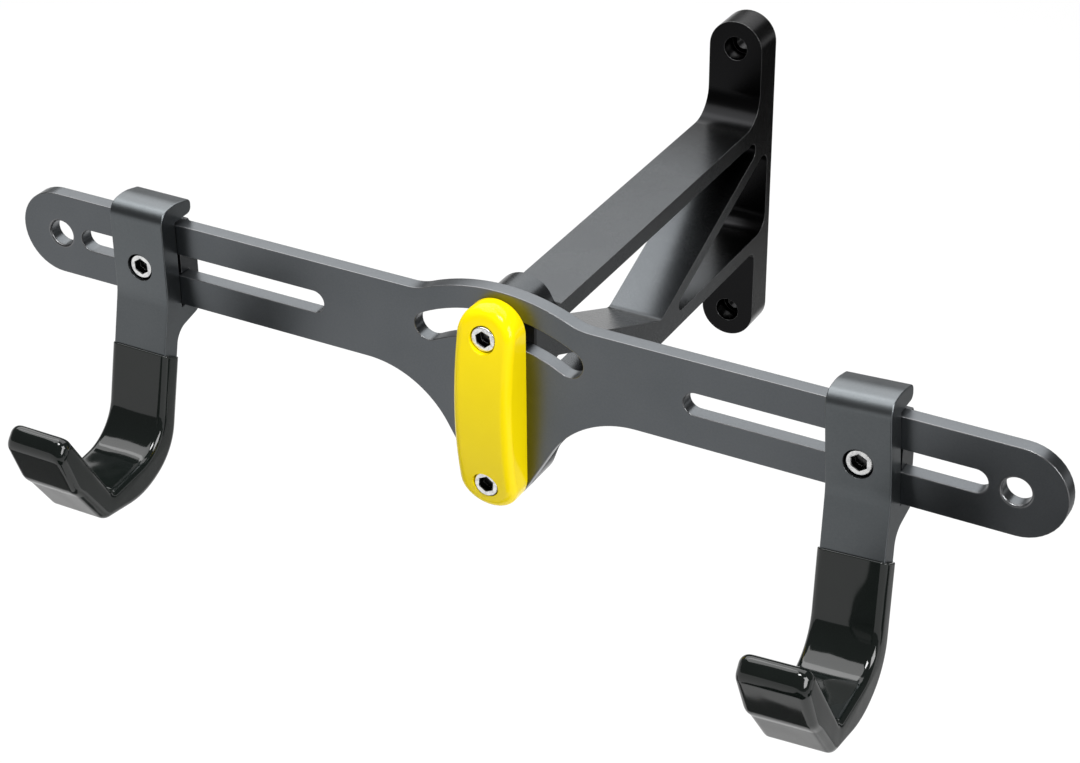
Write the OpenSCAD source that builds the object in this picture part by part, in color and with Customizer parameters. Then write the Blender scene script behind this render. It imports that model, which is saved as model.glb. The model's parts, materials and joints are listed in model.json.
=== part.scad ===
// Wall hanger for a bicycle: a truss bracket carries a tilting cross bar with two sliding hooks.
// Frame: millimetres, x along the cross bar, y towards the wall, z up.
// The origin lies on the wall face, midway between the two wall bolts.

/* [Wall bracket] */
// Width of the bracket, the same from the wall to the head
bracket_w = 24; // [20:0.5:36]
// Distance between the two wall bolts
bolt_span = 125; // [110:1:150]
// Thickness of the wall plate at the bolt tabs
tab_t = 14.5; // [11:0.5:18]
// Thickness of the wall plate behind the open truss
back_web_t = 4.4; // [3:0.1:7]
// From the wall to the back of the head
arm_reach = 196.2; // [170:1:230]
// Depth of the head that the clamp screws bite into
head_t = 13.8; // [10:0.2:18]
// Thickness of the level flange on top of the arm
flange_t = 7.5; // [5:0.1:10]
// Thickness of the diagonal that runs down from the head
front_strut_t = 6.9; // [5:0.1:9]
// Thickness of the diagonal that runs up to the wall
rear_strut_t = 5.8; // [4:0.1:8]
// Thickness of the bottom chord behind the diagonals
chord_t = 6.6; // [5:0.1:9]
// Thickness of the bottom chord in front of the diagonals
front_chord_t = 7.7; // [5:0.1:9]
// Depth of the bottom chord below the middle of the bracket
chord_drop = 30.4; // [27:0.2:36]
// From the wall to where the two diagonals meet the chord
joint_y = 106; // [95:1:115]
// Height above the chord where the two diagonals part
joint_rise = 4.5; // [3:0.1:6]
// How far below the flange the front diagonal meets the head
front_strut_fall = 5; // [4:0.1:8]
// How far below the flange the rear diagonal meets the wall plate
rear_strut_fall = 1.5; // [1:0.1:4]
// Diameter of the wall bolt holes
bolt_hole_d = 6.6; // [5:0.1:8]
// Diameter of the counterbores for the wall bolt heads
bolt_sink_d = 10.5; // [9.5:0.1:13]
// Depth of those counterbores
bolt_sink_depth = 8.5; // [5:0.5:10]

/* [Cross bar] */
// Overall length of the bar
bar_len = 437; // [410:1:460]
// Height of the bar
bar_h = 35; // [30:0.5:40]
// Thickness of the bar
bar_t = 6.2; // [4:0.1:8]
// From each end of the bar to the middle of its end hole
end_hole_inset = 18.5; // [17:0.5:24]
// Diameter of the end holes
end_hole_d = 10.6; // [8:0.1:12]
// Chamfer round the end holes
end_hole_chamfer = 0.6; // [0.2:0.1:1]
// Distance from the middle to the inner end of a hook slot
slot_inner = 75.8; // [70:0.2:90]
// From each end of the bar to the outer end of the hook slot
slot_inset = 28.5; // [27:0.5:40]
// Width of the hook slots
slot_w = 9.2; // [8:0.1:11]

/* [Tilt clamp] */
// Distance between the pivot screw and the lock screw
clamp_span = 62.5; // [55:0.5:70]
// Height of the bar's centre line above the pivot
bar_rise = 52.25; // [46:0.25:58]
// Largest tilt to either side, degrees
tilt_max = 28; // [10:1:30]
// Extra slot length past the largest tilt, degrees
tilt_spare = 0.4; // [0.2:0.1:1]
// Width of the curved slot
arc_slot_w = 11.4; // [11.3:0.1:13]
// Material above the curved slot
hump_wall = 9.3; // [7:0.1:12]
// Radius of the rounded lobe round the pivot
lobe_r = 12; // [10:0.5:14]
// Slope of the web between lobe and bar, degrees from level
web_angle = 60; // [52:1:66]
// Radius that blends the web into the bar
web_blend_r = 40; // [25:1:45]
// Radius that blends the hump into the bar
hump_blend_r = 20; // [12:1:26]
// Thickness of the friction pad behind the bar
pad_t = 2; // [1:0.1:3]
// Thickness of the cover plate at its middle
cover_t = 14.5; // [13:0.1:17]
// Radius of the crown along the cover plate
cover_crown_r = 143; // [120:1:200]
// Rounding of the cover plate's front edge
cover_edge_r = 2.5; // [1.5:0.1:3]
// Running gap between the bar and what clamps it
run_gap = 0.1; // [0.05:0.01:0.2]

/* [Hooks] */
// Width of a hook
hook_w = 24.5; // [20:0.5:30]
// From the left end of the bar to the left hook's middle
left_hook_inset = 63.3; // [45:0.1:125]
// From the right end of the bar to the right hook's middle
right_hook_inset = 72.1; // [45:0.1:125]
// Lean of the right hook within its play on the bar, degrees
right_hook_lean = 3.2; // [0:0.1:3.4]
// Thickness of the hook's front wall
hook_wall = 8.9; // [8:0.1:12]
// Play between the bar's edges and the hook's lips
lip_play = 1; // [0.95:0.05:1.5]
// Thickness of a lip at its nose
lip_t = 6; // [5:0.1:8]
// How far the lips reach past the back of the bar
lip_reach = 4.7; // [3:0.1:6]
// Thickness of the stem below the bar
stem_t = 8.5; // [7:0.1:10]
// Forward lean of the stem, degrees
stem_lean = 12.9; // [10:0.1:15]
// From the bar's centre line down to the underside of the cup
cup_drop = 84.5; // [80:0.5:110]
// From the front of the bar out to the tip
cup_reach = 83.3; // [78:0.5:100]
// Slope of the cup's front arm, degrees from level
arm_angle = 59.1; // [52:0.1:64]
// Thickness of the cup's front arm
arm_t = 9; // [8:0.1:11]
// Length of that arm on its inner side
arm_len = 45.2; // [40:0.2:50]
// Thickness of the dipped coating
coat_t = 0.8; // [0.4:0.1:1.2]
// Radius of the tip's two corners under the coating
tip_corner_r = 4; // [2:0.1:6]
// From the bar's centre line down to the coating's front edge
coat_top = 33.8; // [31:0.2:40]
// Slope of the coating's upper edge, degrees
coat_slope = 28; // [0:1:35]
// Thickness of the clamp plate behind the bar
clamp_plate_t = 6; // [4:0.1:8]
// Bevel along the clamp plate's back edges
clamp_bevel = 4; // [2:0.1:5]
// Gap between the clamp plate's tongue and the slot, each side
tongue_gap = 0.3; // [0.2:0.05:0.6]
// How far the tongue enters the slot
tongue_t = 4.8; // [3:0.1:5.5]

/* [Fasteners] */
// Diameter of every screw's shank
screw_d = 6; // [5:0.5:6]
// Diameter of a socket head
head_d = 10; // [9:0.5:10.5]
// Height of a socket head
screw_head_h = 6; // [5:0.5:6]
// Width across the flats of the hexagon socket
socket_af = 5; // [4:0.5:5]
// Depth of the hexagon socket
socket_depth = 3; // [2:0.5:4]
// Length of the two clamp screws below the head
clamp_screw_len = 20; // [18:1:22]
// Length of a hook's screw below the head
hook_screw_len = 14; // [12:1:16]
// Diameter of the counterbores for the heads
sink_d = 11.4; // [11:0.1:12]
// Through holes are wider than the shank by this much
hole_play = 0.6; // [0.3:0.1:1]
// Gap between a bush and what runs on it, radial
bush_gap = 0.05; // [0.03:0.01:0.1]
// How far a head lies below the front of the hook
hook_head_sink = 0.9; // [0.3:0.1:1.2]
// How far a head lies below the cover plate's crown at the screw
cover_head_sink = 1.7; // [1:0.1:2.5]

/* [Hidden] */
$fn = 96;
eps = 0.01;

// Places along y, from the wall outwards
head_back_y = -arm_reach;
head_front_y = head_back_y - head_t;
pad_front_y = head_front_y - pad_t;
bar_back_y = pad_front_y - run_gap;
bar_front_y = bar_back_y - bar_t;
cover_back_y = bar_front_y - run_gap;

// Places along z
bolt_z = bolt_span / 2;
lock_z = clamp_span / 2;
pivot_z = -clamp_span / 2;
bar_z = pivot_z + bar_rise;
end_r = bracket_w / 2;
flange_fall = 0.2;
flange_top_z = lock_z - flange_fall;
flange_low_z = flange_top_z - flange_t;
chord_low_z = -chord_drop;
chord_top_z = chord_low_z + chord_t;

// Clamp screws and bushes
cover_half = clamp_span / 2 + end_r;
crown_fall = cover_crown_r - sqrt(pow(cover_crown_r, 2) - pow(clamp_span / 2, 2));
clamp_head_y = cover_back_y - cover_t + crown_fall + cover_head_sink;
bush_r = arc_slot_w / 2 - 2 * bush_gap;
thread_len = clamp_screw_len + screw_head_h + (clamp_head_y - head_front_y) + 1;

// Bar
bar_end_x = bar_len / 2 - bar_h / 2;
end_hole_x = bar_len / 2 - end_hole_inset;
slot_outer = bar_len / 2 - slot_inset;
left_hook_x = left_hook_inset - bar_len / 2;
right_hook_x = bar_len / 2 - right_hook_inset;
hump_r = clamp_span + arc_slot_w / 2 + hump_wall;
arc_half_angle = tilt_max + tilt_spare;

// Hook, in a frame with its origin on the bar's front face and centre line
lip_z = bar_h / 2 + lip_play;
nose_y = bar_t + lip_reach;
plate_half_h = bar_h / 2 - 0.5;
hook_head_y = -hook_wall + hook_head_sink;
tip_y = -cup_reach;
cup_low_z = -cup_drop;

// Unit vector from a to b
function unit(a, b) = (b - a) / norm(b - a);

// Left-hand normal of a direction
function side(d) = [-d[1], d[0]];

// Where the line through p along u meets the line through q along v
function meet(p, u, q, v) = p + u * ((q - p) * side(v)) / (u * side(v));

// Points of an arc about a centre, from angle a0 to a1
function arc(centre, r, a0, a1, steps) =
    [for (k = [0:steps]) let (a = a0 + (a1 - a0) * k / steps) centre + r * [cos(a), sin(a)]];

// Points of an arc that rounds corner b of the corner a, b, c with radius r
function corner_arc(a, b, c, r, steps) =
    let (u = unit(b, a), v = unit(b, c), half = acos(u * v) / 2, mid = (u + v) / norm(u + v),
        centre = b + mid * r / sin(half), t1 = b + u * r / tan(half), t2 = b + v * r / tan(half),
        a1 = atan2(t1[1] - centre[1], t1[0] - centre[0]), a2 = atan2(t2[1] - centre[1], t2[0] - centre[0]),
        turn = (a2 - a1 + 540) % 360 - 180)
    arc(centre, r, a1, a1 + turn, steps);

// Closed outline from corners [point, radius], each round corner made of the given steps
function rounded(corners, steps = 10) =
    let (n = len(corners))
    [for (i = [0:n - 1])
        let (a = corners[(i + n - 1) % n][0], b = corners[i][0], c = corners[(i + 1) % n][0], r = corners[i][1])
        each (r <= 0 ? [b] : corner_arc(a, b, c, r, steps))];

// The same corners with every edge moved out by g, for corners that run clockwise
function grown(corners, g) =
    let (n = len(corners))
    [for (i = [0:n - 1])
        let (a = corners[(i + n - 1) % n][0], b = corners[i][0], c = corners[(i + 1) % n][0], r = corners[i][1],
            u = unit(a, b), v = unit(b, c), bend = u[0] * v[1] - u[1] * v[0],
            out = (side(u) + side(v)) / (1 + u * v))
        [b + out * g, r <= 0 ? 0 : r + (bend < 0 ? g : -g)]];

// Extrudes an outline drawn in y and z over a width centred on x = 0
module across_x(w) {
    rotate([90, 0, 90])
        linear_extrude(height = w, center = true, convexity = 8) children();
}

// Extrudes an outline drawn in x and z from the plane y0 towards the front
module towards_front(y0, t) {
    translate([0, y0, 0])
        rotate([90, 0, 0])
            linear_extrude(height = t, convexity = 8) children();
}

// Round bar along y from y0 towards the front
module y_rod(y0, t, d) {
    translate([0, y0, 0])
        rotate([90, 0, 0])
            cylinder(h = t, d = d);
}

// Slot outline between two points on a level line
module level_slot(x0, x1, w) {
    translate([x0 + w / 2, -w / 2]) square([x1 - x0 - w, w]);
    for (x = [x0 + w / 2, x1 - w / 2]) translate([x, 0]) circle(d = w);
}

// Upright plate outline with round ends about two centres at plus and minus half
module upright_stadium(half, r) {
    translate([-r, -half]) square([2 * r, 2 * half]);
    for (s = [-1, 1]) translate([0, s * half]) circle(r = r);
}

// Socket head screw: the top of its head at y0, pointing at the wall
module socket_screw(y0, len) {
    color("silver")
        difference() {
            union() {
                y_rod(y0 + screw_head_h, screw_head_h, head_d);
                y_rod(y0 + screw_head_h + len, len + eps, screw_d);
            }
            translate([0, y0 + socket_depth, 0])
                rotate([90, 0, 0])
                    cylinder(h = socket_depth + 1, d = socket_af / cos(30), $fn = 6);
        }
}

// Outer outline of the bracket, seen from the side
tab_front_y = -tab_t;
tab_end_z = bolt_z + end_r;
head_end_z = lock_z + end_r;
tab_fillet_r = 12.5;
chord_fillet_r = 4.5;
head_root_r = 5.4;
window_r = [2.5, 3, 4, 5, 8];
STRUT_A = [-joint_y, chord_top_z + joint_rise];
FRONT_DIR = unit(STRUT_A, [head_back_y, flange_low_z - front_strut_fall]);
FRONT_LOW = STRUT_A + side(FRONT_DIR) * front_strut_t;
REAR_DIR = unit(STRUT_A, [-back_web_t, flange_low_z - rear_strut_fall]);

module bracket_outline() {
    polygon(rounded([
        [[head_front_y, head_end_z], 0],
        [[head_back_y, head_end_z], 0],
        [[head_back_y, flange_top_z], head_root_r],
        [[tab_front_y, flange_top_z], tab_fillet_r],
        [[tab_front_y, tab_end_z], 0],
        [[0, tab_end_z], 0],
        [[0, -tab_end_z], 0],
        [[tab_front_y, -tab_end_z], 0],
        [[tab_front_y, chord_low_z], chord_fillet_r],
        [[head_back_y, chord_low_z], head_root_r],
        [[head_back_y, -head_end_z], 0],
        [[head_front_y, -head_end_z], 0]
    ]));
}

// Window between the flange and the two diagonals
module upper_window() {
    polygon(rounded([
        [[head_back_y, flange_low_z], window_r[0]],
        [meet([0, flange_low_z], [1, 0], STRUT_A, REAR_DIR), window_r[2]],
        [STRUT_A, window_r[3]],
        [meet(STRUT_A, FRONT_DIR, [head_back_y, 0], [0, 1]), window_r[0]]
    ]));
}

// Window between the front diagonal, the chord and the head
module front_window() {
    polygon(rounded([
        [meet(FRONT_LOW, FRONT_DIR, [0, chord_low_z + front_chord_t], [1, 0]), window_r[1]],
        [[head_back_y, chord_low_z + front_chord_t], window_r[3]],
        [meet(FRONT_LOW, FRONT_DIR, [head_back_y, 0], [0, 1]), window_r[0]]
    ]));
}

// Window between the rear diagonal, the chord and the wall plate
module lower_window() {
    low_start = STRUT_A - side(REAR_DIR) * rear_strut_t;
    polygon(rounded([
        [meet(low_start, REAR_DIR, [0, chord_top_z], [1, 0]), window_r[1]],
        [[-back_web_t, chord_top_z], window_r[4]],
        [meet(low_start, REAR_DIR, [-back_web_t, 0], [0, 1]), window_r[3]]
    ]));
}

module wall_bracket() {
    color("dimgray")
        difference() {
            intersection() {
                across_x(bracket_w)
                    difference() {
                        bracket_outline();
                        upper_window();
                        front_window();
                        lower_window();
                    }
                union() {
                    towards_front(0, tab_t + 20) upright_stadium(bolt_z, end_r);
                    towards_front(-tab_t - 1, arm_reach - tab_t - 2 - head_root_r)
                        square([bracket_w + 2, 2 * bolt_span], center = true);
                    towards_front(head_back_y + head_root_r + 1 + eps, head_t + head_root_r + 2)
                        upright_stadium(lock_z, end_r);
                }
            }
            for (z = [-bolt_z, bolt_z]) translate([0, 0, z]) {
                y_rod(1, tab_t + 2, bolt_hole_d);
                y_rod(tab_front_y + bolt_sink_depth, bolt_sink_depth + 20, bolt_sink_d);
            }
            for (z = [pivot_z, lock_z]) translate([0, 0, z])
                y_rod(head_front_y + thread_len, thread_len + 1, screw_d);
        }
}

module friction_pad() {
    color([0.08, 0.08, 0.08])
        difference() {
            towards_front(head_front_y, pad_t) upright_stadium(lock_z, end_r);
            for (z = [pivot_z, lock_z]) translate([0, 0, z])
                y_rod(head_front_y + 1, pad_t + 2, screw_d + hole_play);
        }
}

// Outline drawn by its right half from the bottom to the top, and the mirror image of that half
module mirrored_outline(right) {
    n = len(right);
    polygon(concat(right, [for (k = [1:n]) if (right[n - k][0] > eps) [-right[n - k][0], right[n - k][1]]]));
}

// Middle of the bar about the pivot: the web rises from the lobe into the bar's underside, and the
// hump over the curved slot blends into its upper edge
module bar_middle() {
    foot = lobe_r * [sin(web_angle), -cos(web_angle)];
    under = bar_rise - bar_h / 2;
    above = bar_rise + bar_h / 2;
    web_top = meet(foot, [cos(web_angle), sin(web_angle)], [0, under], [1, 0]);
    web_x = web_top[0] + web_blend_r * tan(web_angle / 2);
    reach = hump_r + hump_blend_r;
    hump_x = sqrt(pow(reach, 2) - pow(above + hump_blend_r, 2));
    swing = asin(hump_x / reach);
    mirrored_outline(concat(
        arc([0, 0], lobe_r, -90, web_angle - 90, 12),
        arc([web_x, under - web_blend_r], web_blend_r, 90 + web_angle, 90, 20),
        arc([hump_x, above + hump_blend_r], hump_blend_r, -90, -90 - swing, 8),
        arc([0, 0], hump_r, 90 - swing, 90, 18)));
}

// Points of a list without its first and last one
function inside(points) = [for (k = [1:len(points) - 2]) points[k]];

// Curved slot about the pivot
module tilt_slot() {
    half_w = arc_slot_w / 2;
    a0 = 90 - arc_half_angle;
    a1 = 90 + arc_half_angle;
    polygon(concat(
        arc([0, 0], clamp_span + half_w, a0, a1, 28),
        inside(arc(clamp_span * [cos(a1), sin(a1)], half_w, a1, a1 + 180, 20)),
        arc([0, 0], clamp_span - half_w, a1, a0, 28),
        inside(arc(clamp_span * [cos(a0), sin(a0)], half_w, a0 + 180, a0 + 360, 20))));
}

module bar_outline() {
    difference() {
        union() {
            translate([-bar_end_x, -bar_h / 2]) square([2 * bar_end_x, bar_h]);
            for (s = [-1, 1]) translate([s * bar_end_x, 0]) circle(d = bar_h);
            translate([0, -bar_rise]) bar_middle();
        }
        translate([0, -bar_rise]) tilt_slot();
        level_slot(slot_inner, slot_outer, slot_w);
        mirror([1, 0]) level_slot(slot_inner, slot_outer, slot_w);
    }
}

module cross_bar() {
    ch = end_hole_chamfer;
    color("slategray")
        difference() {
            translate([0, 0, bar_z]) towards_front(bar_back_y, bar_t) bar_outline();
            translate([0, 0, pivot_z]) y_rod(bar_back_y + 1, bar_t + 2, 2 * (bush_r + bush_gap));
            for (x = [-1, 1] * end_hole_x) translate([x, 0, bar_z]) {
                y_rod(bar_back_y + 1, bar_t + 2, end_hole_d);
                translate([0, bar_front_y + ch, 0]) rotate([90, 0, 0])
                    cylinder(h = 2 * ch, d1 = end_hole_d, d2 = end_hole_d + 4 * ch);
                translate([0, bar_back_y - ch, 0]) rotate([-90, 0, 0])
                    cylinder(h = 2 * ch, d1 = end_hole_d, d2 = end_hole_d + 4 * ch);
            }
        }
}

// Height of the cover's front above its back, at a distance z from its middle
function crown(z) = cover_t - cover_crown_r + sqrt(pow(cover_crown_r, 2) - pow(z, 2));

module cover_plate() {
    rim = end_r - cover_edge_r;
    color("gold")
        difference() {
            hull() {
                towards_front(cover_back_y, 2) upright_stadium(lock_z, end_r);
                for (s = [-1, 1], k = [0:8]) translate([0, cover_back_y, 0]) {
                    for (m = [-1, 1]) translate([m * rim, cover_edge_r - crown(lock_z * k / 8), s * lock_z * k / 8])
                        sphere(r = cover_edge_r, $fn = 24);
                    translate([rim * cos(k * 22.5), cover_edge_r - crown(lock_z + rim * sin(k * 22.5)),
                        s * (lock_z + rim * sin(k * 22.5))])
                        sphere(r = cover_edge_r, $fn = 24);
                    translate([0, cover_edge_r - crown(lock_z * k / 8), s * lock_z * k / 8])
                        sphere(r = cover_edge_r, $fn = 24);
                }
            }
            for (z = [pivot_z, lock_z]) translate([0, 0, z]) {
                y_rod(cover_back_y + 1, cover_t + 2, screw_d + hole_play);
                y_rod(clamp_head_y + screw_head_h, cover_t, sink_d);
            }
        }
}

module tilt_lock_screw() {
    translate([0, 0, lock_z]) socket_screw(clamp_head_y, clamp_screw_len);
}

module pivot_screw() {
    translate([0, 0, pivot_z]) socket_screw(clamp_head_y, clamp_screw_len);
}

// Bush on a clamp screw, held between the pad and the cover plate
module clamp_bush(z) {
    color("darkgray")
        translate([0, 0, z])
            difference() {
                y_rod(pad_front_y, bar_t + 2 * run_gap, 2 * bush_r);
                y_rod(pad_front_y + 1, bar_t + 3, screw_d + 2 * bush_gap);
            }
}

module slot_bush() {
    clamp_bush(lock_z);
}

module pivot_bush() {
    clamp_bush(pivot_z);
}

// Straight lines of the stem, and the coating's upper edge
shin_top = 6.5;
dip_lead = 5.5;
DOWN = [-sin(stem_lean), -cos(stem_lean)];
SHIN = [-hook_wall, shin_top - lip_z];
CALF = SHIN + side(DOWN) * stem_t;
DIP_EDGE = [-hook_wall - dip_lead, -coat_top];
DIP_DIR = [cos(coat_slope), -sin(coat_slope)];
LIP_CORNER = [nose_y, -lip_z - lip_t];

// Tip of the cup's front arm; the arm runs down from it and its outer face is thicker near the tip
tip_back = 5.1;
tip_height = 48.3;
TIP = [tip_y + tip_back, cup_low_z + tip_height];
ARM_DIR = [cos(arm_angle), -sin(arm_angle)];
function on_arm(along, out) = TIP + along * ARM_DIR - out * side(ARM_DIR);

// Lowest corner of the cup, its rise to the stem and the rise of its floor, degrees
belly_back = 48.3;
belly_fall = 2.1;
heel_rise = 26.3;
floor_rise = 6;
BELLY = [tip_y + belly_back, cup_low_z - belly_fall];

// Along the arm and out from its face: the toe, the ridge, the groove above it and the chin
toe_past = 4.2;
ridge_along = 28.3;
ridge_out = 1.4;
groove_along = 23.2;
groove_out = 2.5;
chin_along = 3.1;
chin_in = 1.2;

// Radii of the cup's corners
heel_r = 24;
belly_r = 32;
toe_r = 6;
ridge_r = 1.5;
chin_r = 5;
tip_r = 2.5;
crotch_r = 3.5;
floor_r = 20;

// Corners of the cup, clockwise from the back of the stem, each with its radius
CUP = [
    [meet(CALF, DOWN, BELLY, [cos(heel_rise), sin(heel_rise)]), heel_r],
    [BELLY, belly_r],
    [on_arm(arm_len + toe_past, arm_t), toe_r],
    [on_arm(ridge_along, arm_t + ridge_out), ridge_r],
    [on_arm(groove_along, arm_t + groove_out), chin_r],
    [on_arm(chin_along, arm_t - chin_in), chin_r],
    [TIP, tip_r],
    [on_arm(arm_len, 0), crotch_r],
    [meet(SHIN, DOWN, on_arm(arm_len, 0), [cos(floor_rise), sin(floor_rise)]), floor_r]
];

// Corners of the hook's metal, clockwise from the top front, each with its radius
nose_r = lip_t / 2 - 0.05;
top_round_r = 7.3;
top_rise = 1.2;
lip_slope = 13;
lip_root_r = 8;
shin_r = 30;
HOOK = concat([
    [[-hook_wall, lip_z + lip_t + top_rise], top_round_r],
    [[nose_y, lip_z + lip_t], nose_r],
    [[nose_y, lip_z], nose_r],
    [[-run_gap, lip_z], 0],
    [[-run_gap, -lip_z], 0],
    [[nose_y, -lip_z], nose_r],
    [LIP_CORNER, nose_r],
    [meet(LIP_CORNER, [cos(lip_slope), sin(lip_slope)], CALF, DOWN), lip_root_r]],
    CUP,
    [[SHIN, shin_r]]);

// Cuts that round both corners of the tip, seen along the arm's thickness, for a skin grown by g
module tip_corner_cuts(g) {
    r = tip_corner_r + g;
    for (s = [-1, 1])
        translate([s * (hook_w / 2 - tip_corner_r), TIP[0], TIP[1]])
            rotate([90 - arm_angle, 0, 0])
                translate([0, 0, -tip_corner_r])
                    difference() {
                        translate([(s - 1) * r, -2 * arm_t, 0]) cube([2 * r, 4 * arm_t, 2 * r]);
                        rotate([90, 0, 0]) cylinder(h = 5 * arm_t, r = r, center = true);
                    }
}

// Extruded profile of the hook with the rounded corners of its tip
module hook_profile() {
    difference() {
        across_x(hook_w) polygon(rounded(HOOK));
        tip_corner_cuts(0);
    }
}

module hook_metal() {
    color("dimgray")
        difference() {
            hook_profile();
            y_rod(1, hook_wall + 2, screw_d + hole_play);
            y_rod(hook_head_y + screw_head_h, screw_head_h + hook_wall, sink_d);
        }
}

// Outline of the dipped part grown by the coating, with its sloping upper edge left in place
function dipped() =
    let (start = meet(CALF, DOWN, DIP_EDGE, DIP_DIR), end = meet(SHIN, DOWN, DIP_EDGE, DIP_DIR),
        c = grown(concat([[start, 0]], CUP, [[end, 0]]), coat_t), n = len(c))
    concat([[meet(c[1][0], DOWN, DIP_EDGE, DIP_DIR), 0]], [for (k = [1:n - 2]) c[k]],
        [[meet(c[n - 2][0], DOWN, DIP_EDGE, DIP_DIR), 0]]);

module hook_coating() {
    color([0.05, 0.05, 0.05])
        difference() {
            across_x(hook_w + 2 * coat_t) polygon(rounded(dipped()));
            tip_corner_cuts(coat_t);
            hook_profile();
        }
}

// Clamp plate behind the bar, with the tongue that keeps it square in the slot
module clamp_plate() {
    tongue_half = slot_w / 2 - tongue_gap;
    back = bar_t + run_gap + clamp_plate_t;
    color("gray")
        difference() {
            across_x(hook_w) polygon([
                [bar_t - tongue_t, tongue_half],
                [bar_t + run_gap, tongue_half],
                [bar_t + run_gap, plate_half_h],
                [back - clamp_bevel, plate_half_h],
                [back, plate_half_h - 1.5 * clamp_bevel],
                [back, 1.5 * clamp_bevel - plate_half_h],
                [back - clamp_bevel, -plate_half_h],
                [bar_t + run_gap, -plate_half_h],
                [bar_t + run_gap, -tongue_half],
                [bar_t - tongue_t, -tongue_half]
            ]);
            y_rod(back + 1, back + 2, screw_d);
        }
}

module at_left_hook() {
    translate([left_hook_x, bar_front_y, bar_z]) children();
}

// The right set mirrors the left one; its hook leans while its clamp plate stays square in the slot
module at_right_hook(lean = 0) {
    translate([right_hook_x, bar_front_y, bar_z])
        mirror([1, 0, 0])
            rotate([0, lean, 0]) children();
}

module left_hook() {
    at_left_hook() hook_metal();
}

module left_hook_coating() {
    at_left_hook() hook_coating();
}

module left_clamp_plate() {
    at_left_hook() clamp_plate();
}

module left_hook_screw() {
    at_left_hook() socket_screw(hook_head_y, hook_screw_len);
}

module right_hook() {
    at_right_hook(right_hook_lean) hook_metal();
}

module right_hook_coating() {
    at_right_hook(right_hook_lean) hook_coating();
}

module right_clamp_plate() {
    at_right_hook() clamp_plate();
}

module right_hook_screw() {
    at_right_hook() socket_screw(hook_head_y, hook_screw_len);
}

wall_bracket();
friction_pad();
cross_bar();
cover_plate();
tilt_lock_screw();
pivot_screw();
slot_bush();
pivot_bush();
left_hook();
left_hook_coating();
left_clamp_plate();
left_hook_screw();
right_hook();
right_hook_coating();
right_clamp_plate();
right_hook_screw();
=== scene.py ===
"""Studio scene of a bike wall hanger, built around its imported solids.

The solids give every piece its place and size. The bracket, bar, pad, bushes and clamp plates are
finer copies of them with broken edges. The hooks, their dipped coating, the crowned cover plate and
the socket screws are built here, from much the same measures. Lengths are in millimetres until a
mesh is made; the studio's are in metres.
"""

import json
import logging
import math
from dataclasses import dataclass, field
from enum import Enum
from typing import Sequence

import bmesh
import bpy
from mathutils import Matrix, Vector

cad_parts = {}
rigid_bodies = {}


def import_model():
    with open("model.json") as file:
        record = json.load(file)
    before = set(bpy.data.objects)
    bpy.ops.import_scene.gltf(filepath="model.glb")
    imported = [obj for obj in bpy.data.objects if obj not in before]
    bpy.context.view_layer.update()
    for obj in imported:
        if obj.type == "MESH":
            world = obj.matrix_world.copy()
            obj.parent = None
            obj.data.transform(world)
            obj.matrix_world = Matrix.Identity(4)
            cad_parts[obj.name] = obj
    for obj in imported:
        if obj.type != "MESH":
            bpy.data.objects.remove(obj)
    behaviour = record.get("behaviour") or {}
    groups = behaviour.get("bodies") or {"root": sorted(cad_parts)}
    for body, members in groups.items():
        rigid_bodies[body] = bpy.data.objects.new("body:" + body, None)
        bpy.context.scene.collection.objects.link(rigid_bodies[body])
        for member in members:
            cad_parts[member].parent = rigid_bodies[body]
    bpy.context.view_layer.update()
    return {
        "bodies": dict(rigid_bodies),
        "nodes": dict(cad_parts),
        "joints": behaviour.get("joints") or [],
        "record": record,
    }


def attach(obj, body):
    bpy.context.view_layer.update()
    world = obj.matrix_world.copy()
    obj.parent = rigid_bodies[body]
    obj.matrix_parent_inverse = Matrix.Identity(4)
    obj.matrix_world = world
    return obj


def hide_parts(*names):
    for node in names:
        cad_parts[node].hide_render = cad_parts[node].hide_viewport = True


LOG = logging.getLogger("hanger")
MM = 0.001
MERGE_MM = 0.002
FLAT_DEG = 0.3
BAR_FRONT_Y = -218.3
BAR_Z = 21.0
CLAMP_Z = 31.25
COVER_BACK_Y = -218.4
CLAMP_HEAD_Y = -228.8
HOOK_HEAD_Y = -226.3
HOLE_R = 3.3
CUTTER_SIDES = 72
CORNER_STEP_DEG = 5.0
LEFT_HOOK_X = -155.2
RIGHT_HOOK_X = 146.4
RIGHT_LEAN_DEG = 3.2

Colour = tuple[float, float, float]
FRAME: dict = {}
MATERIALS: dict[str, bpy.types.Material] = {}


class Side(Enum):
    """Which of the two hooks a set belongs to."""

    LEFT = "left"
    RIGHT = "right"


# ------------------------------------------------------------- nodes and their maths


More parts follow.
